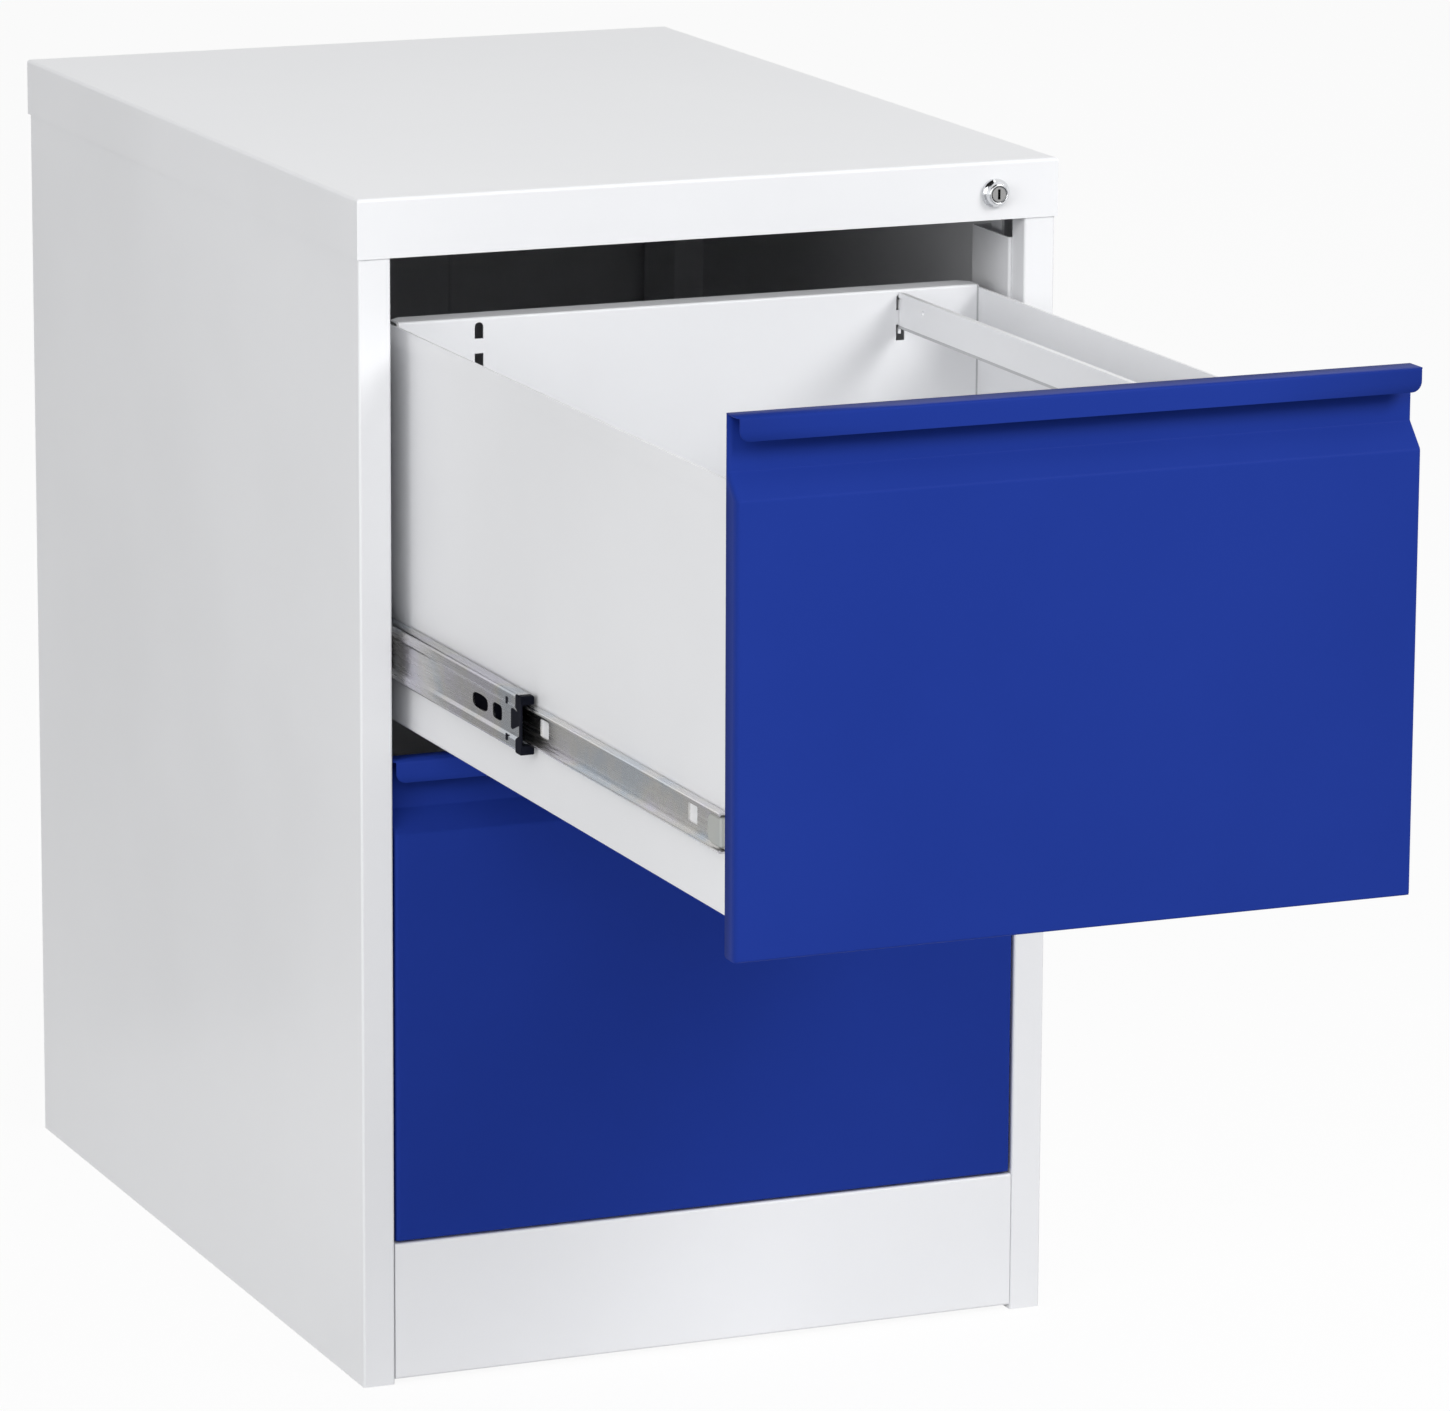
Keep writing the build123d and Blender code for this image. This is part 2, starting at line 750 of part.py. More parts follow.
def hook_window(z):
    """opening in the upright for a hook and its travel"""
    low = z + catch_lift + hook_lift - bar_travel - hook_window_play
    high = z + catch_lift + hook_lift + hook_height + hook_window_play
    return block(
        upright_x - 1, upright_x + upright_sheet + 1, bar_front + hook_inset - hook_window_play,
        bar_front + hook_inset + hook_sheet + hook_window_play, low, high,
    )


def bar_guide(z):
    """plastic block that the lock bar slides through"""
    near, far = upright_x + upright_sheet, bar_x + bar_sheet + guide_margin
    first, last = bar_front - guide_margin, bar_front + bar_width + guide_margin
    body = block(near, far, first, last, z, z + guide_height)
    way = block(
        bar_x - guide_play, bar_x + bar_sheet + guide_play, bar_front - guide_play,
        bar_front + bar_width + guide_play, z - 1, z + guide_height + 1,
    )
    return body - way


def main():
    os.makedirs("parts", exist_ok=True)
    drawers = (
        ("upper", lowest_front + front_height + front_parting, -travel),
        ("lower", lowest_front, 0.0),
    )

    save("left_side_panel", side_panel())
    save("right_side_panel", mirrored(side_panel()))
    save("top_cap", top_cap())
    save("back_panel", back_panel())
    save("plinth", plinth())
    save("base_frame", base_frame())

    front_post = upright(upright_front, front_slot_y)
    rear_post = upright(-upright_back, rear_slot_y)
    save("left_front_upright", front_post)
    save("left_rear_upright", rear_post)
    save("right_front_upright", cut(mirrored(front_post), [hook_window(z) for _, z, _ in drawers]))
    save("right_rear_upright", mirrored(rear_post))

    save("lock_barrel", lock_barrel())
    nut_y = skirt_y + sheet
    save("lock_nut", hexagon(lock_nut_width, nut_y, nut_y + lock_nut_height, barrel_radius))
    save("lock_plug", lock_plug())
    save("lock_cam", lock_cam())
    save("lock_cam_nut", hexagon(cam_nut_width, cam_back, cam_back + cam_nut_height, plug_tail_radius))
    save("lock_bar", lock_bar())
    save("lock_bar_arm", lock_arm())
    save("lock_bar_hooks", *[lock_hook(z) for _, z, _ in drawers])
    save("lock_bar_guides", *[bar_guide(z) for z in guide_places])

    near_outer = slide_sheet + (web_gap - cage_sheet) / 2
    near_inner = (middle_u + web_step + slide_sheet + inner_tip - cage_sheet) / 2
    for level, z, shift in drawers:
        centre = z + slide_lift
        outer = cabinet_member(centre)
        save(f"{level}_left_cabinet_slide", outer)
        save(f"{level}_right_cabinet_slide", mirrored(outer))

        moved = Pos(0, shift * middle_share, 0)
        middle, end = moved * intermediate_member(centre), moved * bumper(centre)
        save(f"{level}_left_middle_slide", middle)
        save(f"{level}_right_middle_slide", mirrored(middle))
        save(f"{level}_slide_bumpers", end, mirrored(end))

        outer_cage = (outer_cage_start, outer_cage_length, outer_ball_u, outer_ball_v)
        inner_cage = (inner_cage_start, inner_cage_length, inner_ball_u, inner_ball_v)
        for place, share, near, reach, (start, length, ball_u, ball_v) in (
            ("outer", outer_cage_share, near_outer, outer_cage_reach, outer_cage),
            ("inner", inner_cage_share, near_inner, inner_cage_reach, inner_cage),
        ):
            moved = Pos(0, shift * share, 0)
            strip = moved * cage(centre, start, length, near, reach, ball_u, ball_v)
            left = [moved * ball for ball in balls(centre, start, length, ball_u, ball_v)]
            save(f"{level}_{place}_ball_cages", strip, mirrored(strip))
            save(f"{level}_{place}_balls", *left, *[mirrored(ball) for ball in left])

        moved = Pos(0, shift, 0)
        inner = moved * drawer_member(centre)
        save(f"{level}_left_drawer_slide", inner)
        save(f"{level}_right_drawer_slide", mirrored(inner))
        save(f"{level}_drawer_front", moved * drawer_front(z))
        save(f"{level}_inner_front", moved * inner_front(z))
        save(f"{level}_drawer_tray", moved * drawer_tray(z))
        save(f"{level}_drawer_back", moved * drawer_back(z))
        save(f"{level}_hanging_rail", moved * hanging_rail(z))
        save(f"{level}_lock_catch", moved * drawer_catch(z))


main()
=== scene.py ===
import math

import bpy
import numpy as np
from mathutils import Matrix, Vector


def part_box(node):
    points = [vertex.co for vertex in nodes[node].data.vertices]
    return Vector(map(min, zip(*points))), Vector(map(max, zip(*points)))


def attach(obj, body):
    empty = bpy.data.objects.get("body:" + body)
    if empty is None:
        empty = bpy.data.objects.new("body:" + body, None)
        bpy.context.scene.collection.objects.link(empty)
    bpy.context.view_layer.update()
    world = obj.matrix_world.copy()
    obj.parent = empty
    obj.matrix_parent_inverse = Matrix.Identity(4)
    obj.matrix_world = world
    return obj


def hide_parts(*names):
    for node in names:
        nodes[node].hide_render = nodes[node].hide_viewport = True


print("cabinet: loading the frame")
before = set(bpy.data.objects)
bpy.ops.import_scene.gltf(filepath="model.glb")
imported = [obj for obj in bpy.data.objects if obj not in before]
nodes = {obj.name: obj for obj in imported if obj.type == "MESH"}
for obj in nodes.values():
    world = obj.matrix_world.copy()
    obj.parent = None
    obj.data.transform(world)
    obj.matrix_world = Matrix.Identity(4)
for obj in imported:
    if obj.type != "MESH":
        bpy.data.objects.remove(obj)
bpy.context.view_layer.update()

levels = ("upper", "lower")
perMetre = 1000  # the sizes of the pieces are millimetres, Blender's are metres


# helpers for shader trees

noiseSpan = (0.3, 0.7)  # most of a noise's values lie in here
tintStops = (0.35, 0.5, 0.65)  # where a tint's low, middle and high colours stand
mixSockets = {"factor": 0, "first": 6, "second": 7, "result": 2}  # a Mix node's sockets for colours


def newMaterial(name):
    material = bpy.data.materials.new(name)
    material.use_nodes = True
    tree = material.node_tree
    tree.nodes.clear()
    return material, tree


def addNode(tree, kind, place=(0, 0), **settings):
    node = tree.nodes.new(kind)
    node.location = place
    for key, value in settings.items():
        setattr(node, key, value)
    return node


def objectPlace(tree, scale=(1, 1, 1)):
    # object coordinates, stretched along the axes of the piece
    coordinates = addNode(tree, "ShaderNodeTexCoord", (-1200, 0))
    mapping = addNode(tree, "ShaderNodeMapping", (-1000, 0))
    mapping.inputs["Scale"].default_value = scale
    tree.links.new(coordinates.outputs["Object"], mapping.inputs["Vector"])
    return mapping.outputs["Vector"]


def noiseAt(tree, place, scale, detail, roughness, spot):
    noise = addNode(tree, "ShaderNodeTexNoise", spot)
    noise.inputs["Scale"].default_value = scale
    noise.inputs["Detail"].default_value = detail
    noise.inputs["Roughness"].default_value = roughness
    tree.links.new(place, noise.inputs["Vector"])
    return noise.outputs["Fac"]


def spread(tree, source, low, high):
    # the noise's usual span carried to low .. high
    ranged = addNode(tree, "ShaderNodeMapRange", (-400, 0))
    ranged.inputs["From Min"].default_value, ranged.inputs["From Max"].default_value = noiseSpan
    ranged.inputs["To Min"].default_value = low
    ranged.inputs["To Max"].default_value = high
    tree.links.new(source, ranged.inputs["Value"])
    return ranged.outputs["Result"]


def tinted(tree, source, low, high, middle=None):
    # a colour between two colours, by the noise, perhaps through a third
    ramp = addNode(tree, "ShaderNodeValToRGB", (-400, 200))
    stops = ramp.color_ramp.elements
    stops[0].position, stops[0].color = tintStops[0], (*low, 1)
    stops[1].position, stops[1].color = tintStops[2], (*high, 1)
    if middle:
        stops.new(tintStops[1]).color = (*middle, 1)
    tree.links.new(source, ramp.inputs["Fac"])
    return ramp.outputs["Color"]


def shaderOut(tree):
    shader = addNode(tree, "ShaderNodeBsdfPrincipled", (0, 0))
    output = addNode(tree, "ShaderNodeOutputMaterial", (300, 0))
    tree.links.new(shader.outputs["BSDF"], output.inputs["Surface"])
    return shader


def bumped(tree, shader, source, strength, distance):
    bump = addNode(tree, "ShaderNodeBump", (-200, -300))
    bump.inputs["Strength"].default_value = strength
    bump.inputs["Distance"].default_value = distance
    tree.links.new(source, bump.inputs["Height"])
    tree.links.new(bump.outputs["Normal"], shader.inputs["Normal"])


# paints and plastics

whitePaint = {
    "low": (0.852, 0.858, 0.876),
    "high": (0.872, 0.878, 0.896),
    "gloss": (0.30, 0.38),
    "specular": 0.45,
    "ior": 1.45,
    "peelScale": 900,
    "peelDepth": 0.00002,
    "cloudScale": 6,
}
bluePaint = {
    "low": (0.0130, 0.0362, 0.265),
    "high": (0.0142, 0.0386, 0.279),
    "gloss": (0.42, 0.50),
    "specular": 0.03,
    "ior": 1.45,
    "peelScale": 900,
    "peelDepth": 0.00002,
    "cloudScale": 6,
}
bumperPlastic = {
    "low": (0.007, 0.008, 0.013),
    "high": (0.012, 0.013, 0.020),
    "gloss": (0.36, 0.50),
    "specular": 0.16,
    "ior": 1.12,
    "peelScale": 1600,
    "peelDepth": 0.00003,
    "cloudScale": 60,
}
# the lever's plastic made near black with almost no sheen: partly its own dark plastic, partly painted shade
# seen through the slide's windows
leverPlasticWithPaintedShade = {
    **bumperPlastic,
    "low": (0.002, 0.002, 0.004),
    "high": (0.004, 0.004, 0.006),
    "specular": 0.04,
    "ior": 1.04,
}
paintGrain = {"cloudDetail": 3, "peelDetail": 2, "roughness": 0.5, "bump": 0.25}


def paintFinish(name, values):
    # a fine orange peel, with a faint cloudiness of colour and gloss
    grain = paintGrain
    material, tree = newMaterial(name)
    place = objectPlace(tree)
    shader = shaderOut(tree)
    cloud = noiseAt(tree, place, values["cloudScale"], grain["cloudDetail"], grain["roughness"], (-800, 200))
    peel = noiseAt(tree, place, values["peelScale"], grain["peelDetail"], grain["roughness"], (-800, -300))
    tree.links.new(tinted(tree, cloud, values["low"], values["high"]), shader.inputs["Base Color"])
    tree.links.new(spread(tree, cloud, *values["gloss"]), shader.inputs["Roughness"])
    shader.inputs["Specular IOR Level"].default_value = values["specular"]
    shader.inputs["IOR"].default_value = values["ior"]
    bumped(tree, shader, peel, grain["bump"], values["peelDepth"])
    return material


# dark lines of painted shade: the shade in the back wall's corners and the shadow under the rail's lower
# edge
paintedShadeLine = {  # metres
    "backWidth": 0.0012,
    "railWidth": 0.0018,
    "railHeight": 0.0224,
    "shade": (0.50, 0.505, 0.52),
}


def paintWithShadeLines(name, values, axis, places, width):
    # the same paint with a dark line of painted shade, of the given width, centred on each place along one
    # axis
    material = paintFinish(name, values)
    tree = material.node_tree
    shader = next(node for node in tree.nodes if node.type == "BSDF_PRINCIPLED")
    split = addNode(tree, "ShaderNodeSeparateXYZ", (-800, 500))
    tree.links.new(objectPlace(tree), split.inputs["Vector"])
    share = None
    for row, place in enumerate(places):
        near = addNode(tree, "ShaderNodeMath", (-600, 500 + 160 * row), operation="COMPARE")
        near.inputs[1].default_value = place
        near.inputs[2].default_value = width / 2
        tree.links.new(split.outputs[axis], near.inputs[0])
        if share is None:
            share = near.outputs[0]
            continue
        either = addNode(tree, "ShaderNodeMath", (-400, 500 + 160 * row), operation="MAXIMUM")
        tree.links.new(share, either.inputs[0])
        tree.links.new(near.outputs[0], either.inputs[1])
        share = either.outputs[0]
    paint = shader.inputs["Base Color"].links[0].from_socket
    mixed = addNode(tree, "ShaderNodeMix", (-150, 300), data_type="RGBA")
    mixed.inputs[mixSockets["second"]].default_value = (*paintedShadeLine["shade"], 1)
    tree.links.new(share, mixed.inputs[mixSockets["factor"]])
    tree.links.new(paint, mixed.inputs[mixSockets["first"]])
    tree.links.new(mixed.outputs[mixSockets["result"]], shader.inputs["Base Color"])
    return material


# metals

zincPlate = {
    "low": (0.46, 0.49, 0.53),
    "middle": (0.54, 0.53, 0.515),
    "high": (0.54, 0.53, 0.585),
    "gloss": (0.20, 0.32),
    "grainStretch": (60, 1.2, 60),
    "grainScale": 14,
    "grainDepth": 0.00003,
    "metal": 1.0,
}
# the same zinc plate made lighter for the drawer members: painted light
zincPaintedLight = {
    **zincPlate,
    "low": (0.60, 0.64, 0.69),
    "middle": (0.70, 0.69, 0.67),
    "high": (0.70, 0.69, 0.76),
}
chromePlate = {
    "low": (0.66, 0.67, 0.69),
    "high": (0.72, 0.73, 0.74),
    "gloss": (0.04, 0.09),
    "grainStretch": (1, 1, 1),
    "grainScale": 300,
    "grainDepth": 0.00001,
    "metal": 1.0,
}
# made pale and without metal so that the lock bar, in the shade of the cap, shows bright: a dull galvanised
# finish, partly painted light
paleGalvanisedPaintedLight = {  # dull enough to be shaded as a pale paint
    "low": (0.84, 0.86, 0.88),
    "middle": (0.92, 0.92, 0.92),
    "high": (0.88, 0.89, 0.92),
    "gloss": (0.38, 0.52),
    "grainStretch": (1, 1, 1),
    "grainScale": 120,
    "grainDepth": 0.00002,
    "metal": 0.0,
}
tabSteel = {
    **paleGalvanisedPaintedLight,
    "low": (0.40, 0.42, 0.39),
    "middle": (0.43, 0.44, 0.42),
    "high": (0.41, 0.43, 0.42),
}
# the lock plug's plating, made darker than the nose's chrome: painted shade for the shaded face of the plug
plugPlatePaintedShade = {
    "low": (0.31, 0.31, 0.315),
    "high": (0.38, 0.38, 0.375),
    "gloss": (0.22, 0.34),
    "grainStretch": (1, 1, 30),
    "grainScale": 60,
    "grainDepth": 0.00002,
    "metal": 1.0,
}
ballBearing = {
    "low": (0.62, 0.62, 0.63),
    "high": (0.70, 0.70, 0.71),
    "gloss": (0.10, 0.18),
    "grainStretch": (1, 1, 1),
    "grainScale": 800,
    "grainDepth": 0.00001,
    "metal": 1.0,
}
cageStrip = {
    "low": (0.34, 0.34, 0.35),
    "high": (0.42, 0.42, 0.43),
    "gloss": (0.30, 0.42),
    "grainStretch": (60, 1.2, 60),
    "grainScale": 20,
    "grainDepth": 0.00002,
    "metal": 1.0,
}
metalGrain = {
    "detail": 4,
    "roughness": 0.6,
    "bump": 0.3,
    "patchScale": 22,
    "patchDetail": 3,
    "patchRoughness": 0.5,
}


def metalFinish(name, values):
    # rolled or plated metal: a grain along the length, with patches that are more or less bright
    m = metalGrain
    material, tree = newMaterial(name)
    stretched, plain = objectPlace(tree, values["grainStretch"]), objectPlace(tree)
    shader = shaderOut(tree)
    grain = noiseAt(tree, stretched, values["grainScale"], m["detail"], m["roughness"], (-800, 200))
    patch = noiseAt(tree, plain, m["patchScale"], m["patchDetail"], m["patchRoughness"], (-800, -100))
    tint = tinted(tree, patch, values["low"], values["high"], values.get("middle"))
    tree.links.new(tint, shader.inputs["Base Color"])
    tree.links.new(spread(tree, grain, *values["gloss"]), shader.inputs["Roughness"])
    shader.inputs["Metallic"].default_value = values["metal"]
    bumped(tree, shader, grain, m["bump"], values["grainDepth"])
    return material


print("cabinet: finishes")
finishes = {
    "body_paint": paintFinish("whitePowderCoat", whitePaint),
    "front_paint": paintFinish("bluePowderCoat", bluePaint),
    "zinc": metalFinish("zincPlate", zincPlate),
    "zinc_painted_light": metalFinish("zincPlatePaintedLight", zincPaintedLight),
    "chrome": metalFinish("chromePlate", chromePlate),
    "plug_painted_shade": metalFinish("plugPlatePaintedShade", plugPlatePaintedShade),
    "galvanised_painted_light": metalFinish("paleGalvanisedPaintedLight", paleGalvanisedPaintedLight),
    "tab_steel": metalFinish("endTabSteel", tabSteel),
    "ball_steel": metalFinish("ballBearingSteel", ballBearing),
    "cage_steel": metalFinish("cageStripSteel", cageStrip),
    "dark_plastic": paintFinish("bumperPlastic", bumperPlastic),
    "lever": paintFinish("leverPlasticWithPaintedShade", leverPlasticWithPaintedShade),
}
ownFinish = {  # nodes whose finish isn't that of their slot
    # the lock plug takes the darker plating: painted shade
    "lock_plug": "plug_painted_shade",
    # the lock bar takes the pale steel: partly painted light
    "lock_bar": "galvanised_painted_light",
    "lock_bar_arm": "galvanised_painted_light",
    "lock_bar_hooks": "galvanised_painted_light",
}

# painted shade: a dark line beside the drawer's back wall, where its corners with the sides lie in shade,
# and a painted shadow where the hanging rail's lower edge turns away
for level in levels:
    low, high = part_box(f"{level}_drawer_back")
    width = paintedShadeLine["backWidth"]
    finishes[f"{level}_back"] = paintWithShadeLines(
        f"{level}BackPaintedShade", whitePaint, "X", (low.x + width / 2, high.x - width / 2), width)
    ownFinish[f"{level}_drawer_back"] = f"{level}_back"
    low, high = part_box(f"{level}_hanging_rail")
    width = paintedShadeLine["railWidth"]
    finishes[f"{level}_rail"] = paintWithShadeLines(
        f"{level}RailPaintedShade", whitePaint, "Z", (high.z - paintedShadeLine["railHeight"] + width / 2,), width)
    ownFinish[f"{level}_hanging_rail"] = f"{level}_rail"

for nodeName, node in nodes.items():
    slotName = node.data.materials[0].name.split(".")[0]
    node.data.materials.clear()
    node.data.materials.append(finishes[ownFinish.get(nodeName, slotName)])


# surfaces: a shape is a grid, or a section carried along a line, worked out as whole arrays

def roundedLine(corners, radii, steps=5):
    # a line through the corners; each corner becomes an arc that touches both sides,
    # arc point = centre + radius * (first direction turned by even steps into the second)
    corners = np.asarray(corners, float)
    pieces = [corners[:1]]
    for before, corner, after, radius in zip(corners[:-2], corners[1:-1], corners[2:], radii):
        a = (before - corner) / np.linalg.norm(before - corner)
        b = (after - corner) / np.linalg.norm(after - corner)
        half = np.arccos(np.clip(a @ b, -1, 1)) / 2
        centre = corner + (a + b) / np.linalg.norm(a + b) * radius / math.sin(half)
        start = (corner + a * radius / math.tan(half) - centre) / radius
        end = (corner + b * radius / math.tan(half) - centre) / radius
        turn = math.pi - 2 * half
        t = np.linspace(0, 1, steps + 1)[:, None]
        arc = (np.sin((1 - t) * turn) * start + np.sin(t * turn) * end) / math.sin(turn)
        pieces.append(centre + radius * arc)
    pieces.append(corners[-1:])
    return np.concatenate(pieces)


def besideLine(line, distance):
    # the same line moved to its left: point + distance * mean normal of its two sides,
    # which is stretched so that both sides keep the distance
    sides = np.diff(line, axis=0)
    sides /= np.linalg.norm(sides, axis=1, keepdims=True)
    normals = np.stack([-sides[:, 1], sides[:, 0]], axis=1)
    first, last = np.concatenate([normals[:1], normals]), np.concatenate([normals, normals[-1:]])
    middle = first + last
    middle /= np.linalg.norm(middle, axis=1, keepdims=True)
    return line + distance * middle / np.sum(middle * last, axis=1, keepdims=True)


def gridFaces(rows, columns, joinRows=False, joinColumns=False):
    # four neighbouring points make a face; where rows or columns are joined, the last meets the first
    ids = np.arange(rows * columns).reshape(rows, columns)
    if joinRows:
        ids = np.concatenate([ids, ids[:1]])
    if joinColumns:
        ids = np.concatenate([ids, ids[:, :1]], axis=1)
    return np.stack([ids[:-1, :-1], ids[:-1, 1:], ids[1:, 1:], ids[1:, :-1]], axis=-1).reshape(-1, 4)


def thickened(outer, inner, faces):
    # both skins and the rim between them; a rim face stands on each edge that only one face has
    edges = np.concatenate([faces[:, [k, (k + 1) % 4]] for k in range(4)])
    _, which, count = np.unique(np.sort(edges, axis=1), axis=0, return_inverse=True, return_counts=True)
    rim = edges[count[which.ravel()] == 1]
    n = len(outer)
    rims = np.stack([rim[:, 1], rim[:, 0], rim[:, 0] + n, rim[:, 1] + n], axis=1)
    return np.concatenate([outer, inner]), np.concatenate([faces, faces[:, ::-1] + n, rims])


def outward(points, faces):
    # the signed volume of the closed form tells whether its faces must be turned over
    a, b, c, d = (points[faces[:, k]] for k in range(4))
    volume = np.sum(a * (np.cross(b, c) + np.cross(c, d)))
    return faces if volume > 0 else faces[:, ::-1]


def looksAway(points, faces, middle):
    # whether the faces, taken together, look away from a point: sum of normal * (place - point) > 0
    a, b, c, d = (points[faces[:, k]] for k in range(4))
    return np.sum(np.cross(c - a, d - b) * ((a + c) / 2 - middle)) > 0


def withoutSparePoints(points, faces):
    # the points that faces use, and the faces renumbered to match
    used, places = np.unique(faces, return_inverse=True)
    return points[used], places.reshape(faces.shape)


def channel(line, wall, stations, webRows, windows):
    # P(i, j) = (u_i, y_j, v_i): a folded section carried along y, as an outer and an inner skin.
    # A window's edge is |y / a|^p + |v / b|^p = 1, and a ring of faces joins it to the web round it
    y = np.asarray(stations, float)
    skins = []
    for section in (line, besideLine(line, wall)):
        u, along = np.meshgrid(section[:, 0], y, indexing="ij")
        v, _ = np.meshgrid(section[:, 1], y, indexing="ij")
        skins.append(np.stack([u, along, v], axis=-1).reshape(-1, 3))
    faces = gridFaces(len(line), len(y))
    ids = np.arange(len(line) * len(y)).reshape(len(line), len(y))
    i0, i1 = webRows
    for middle, halfLength, halfHeight, power, (j0, j1) in windows:
        faces = faces[~np.isin(faces[:, 0], ids[i0:i1, j0:j1])]
        loop = np.concatenate([ids[i0, j0:j1], ids[i0:i1, j1], ids[i1, j1:j0:-1], ids[i1:i0:-1, j0]])
        blockY, blockV = (y[j1] - y[j0]) / 2, abs(line[i0, 1] - line[i1, 1]) / 2
        ring = len(skins[0]) + np.arange(len(loop))
        for k, skin in enumerate(skins):
            edge = skin[loop]
            angle = np.arctan2(edge[:, 2] / blockV, (edge[:, 1] - middle) / blockY)
            c, s = np.cos(angle), np.sin(angle)
            edge[:, 1] = middle + halfLength * np.sign(c) * np.abs(c) ** (2 / power)
            edge[:, 2] = halfHeight * np.sign(s) * np.abs(s) ** (2 / power)
            skins[k] = np.concatenate([skin, edge])
        around = np.stack([loop, np.roll(loop, -1), np.roll(ring, -1), ring], axis=1)
        faces = np.concatenate([faces, around])
    points, faces = withoutSparePoints(*thickened(*skins, faces))
    return points, outward(points, faces)


def turned(section, sides):
    # P(i, j) = (r_j cos t_i, y_j, r_j sin t_i): a closed section turned round the y axis
    t = np.linspace(0, 2 * math.pi, sides + 1)[:-1]
    r, y = section[:, :1], section[:, 1:]
    points = np.stack([r * np.cos(t), y + 0 * t, r * np.sin(t)], axis=-1).transpose(1, 0, 2)
    faces = gridFaces(*points.shape[:2], joinRows=True, joinColumns=True)
    points = points.reshape(-1, 3)
    return points, outward(points, faces)


def ball(centre, radius, sides, rings):
    # P(a, b) = centre + radius * (sin a cos b, sin a sin b, cos a), from pole to pole and round
    a = np.linspace(0, math.pi, rings + 1)
    b = np.linspace(0, 2 * math.pi, sides + 1)[:-1]
    across, along = np.outer(np.sin(a), np.cos(b)), np.outer(np.sin(a), np.sin(b))
    points = np.stack([across, along, np.outer(np.cos(a), np.ones(sides))], axis=-1)
    points = points.transpose(1, 0, 2).reshape(-1, 3) * radius + centre
    return points, gridFaces(sides, rings + 1, joinRows=True)


def cushion(outline, low, high, edge):
    # an outline carried from low to high, whose ends are the outline moved in by the edge:
    # P = (u, outline - edge * normal) at both ends, P = (u, outline) between them
    outline = np.asarray(outline, float)
    y, v = outline.T
    sign = 1 if np.sum(y * np.roll(v, -1) - v * np.roll(y, -1)) > 0 else -1
    small = besideLine(np.concatenate([outline[-1:], outline, outline[:1]]), sign * edge)[1:-1]
    rings = [(small, low), (outline, low + edge), (outline, high - edge), (small, high)]
    points = np.concatenate([np.column_stack([np.full(len(ring), u), ring]) for ring, u in rings])
    n = len(outline)
    faces = gridFaces(len(rings), n, joinColumns=True)
    caps = np.stack([np.arange(n), np.arange(len(points) - n, len(points))[::-1]])
    if looksAway(points, faces, points.mean(0)):
        return points, faces, caps[:, ::-1]
    return points, faces[:, ::-1], caps


def rectangle(y0, y1, v0, v1, radius, steps=4):
    # a closed loop of four sides with an arc at each corner, from the middle of its lower side
    middle = ((y0 + y1) / 2, v0)
    line = roundedLine([middle, (y1, v0), (y1, v1), (y0, v1), (y0, v0), middle], [radius] * 4, steps)
    return line[:-1]


def plateForm(values, y0, y1, v0, v1):
    # a flat plate with round corners and soft edges, between its two values of u
    return cushion(rectangle(y0, y1, v0, v1, values["corner"]), *values["u"], values["edge"])


def flipped(form):
    # a mirrored form has its faces turned over
    points, *faceSets = form
    return (points, *(faces[:, ::-1] for faces in faceSets))


def addPiece(name, forms, finish, body, replaced=(), sharp=35, look=None):
    # one mesh from several forms, each its points and one or more arrays of faces;
    # edges turned by more than sharp degrees stay sharp
    allPoints, allFaces, start = [], [], 0
    for points, *faceSets in forms:
        allPoints.append(points)
        for faces in faceSets:
            allFaces += (faces + start).tolist()
        start += len(points)
    mesh = bpy.data.meshes.new(name)
    mesh.from_pydata(np.concatenate(allPoints).tolist(), [], allFaces)
    mesh.validate()
    mesh.materials.append(finishes[look or finish])
    mesh.shade_smooth()
    mesh.set_sharp_from_angle(angle=math.radians(sharp))
    piece = bpy.data.objects.new(name, mesh)
    bpy.context.scene.collection.objects.link(piece)
    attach(piece, body)
    if replaced:
        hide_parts(*replaced)
    return piece


# telescopic slides: u runs from an upright's face to the drawer, y backwards, v up from the slide's middle

middleMember = {
    "webU": 2.2, "reach": 12.0, "half": 17.0, "lip": 2.4, "wall": 1.2, "webGrid": 7.0,
    "roll": 2.3, "lipRoll": 1.8, "stepHalf": 8.5, "stepRun": 2.0, "stepDepth": 1.5, "stepRoll": 0.9,
    "windows": ((35.5, 7.4, 4.7, 4.0), (63.2, 12.4, 4.6, 3.0)),  # from the front end, half sizes, roundness
}
drawerMember = {
    "backU": 13.0, "reach": 6.6, "half": 11.5, "lip": 1.9, "wall": 1.2, "webGrid": 8.0,
    "roll": 1.6, "lipRoll": 1.2, "frontTrim": 5.0,
    "windows": ((49.0, 6.5, 5.2, 12.0), (271.0, 6.5, 5.2, 12.0)),
}
leverPlate = {"u": (4.96, 5.42), "from": 22.0, "to": 82.0, "half": 5.9, "corner": 1.5, "edge": 0.2}
webTongues = {
    "u": (3.7, 4.5), "from": -2.4, "to": 1.0, "spans": ((-8.3, -1.2), (5.6, 8.3)),
    "corner": 0.8, "edge": 0.15,
}
endTab = {"u": (7.6, 11.8), "length": 19.0, "half": 8.6, "frontCorner": 2.0, "rearCorner": 6.0, "edge": 0.9}
windowGrid = {"margin": 2.2, "columns": 8, "rows": 6}
uprightX = -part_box("left_front_upright")[1].x * perMetre  # from the middle plane to an upright's face


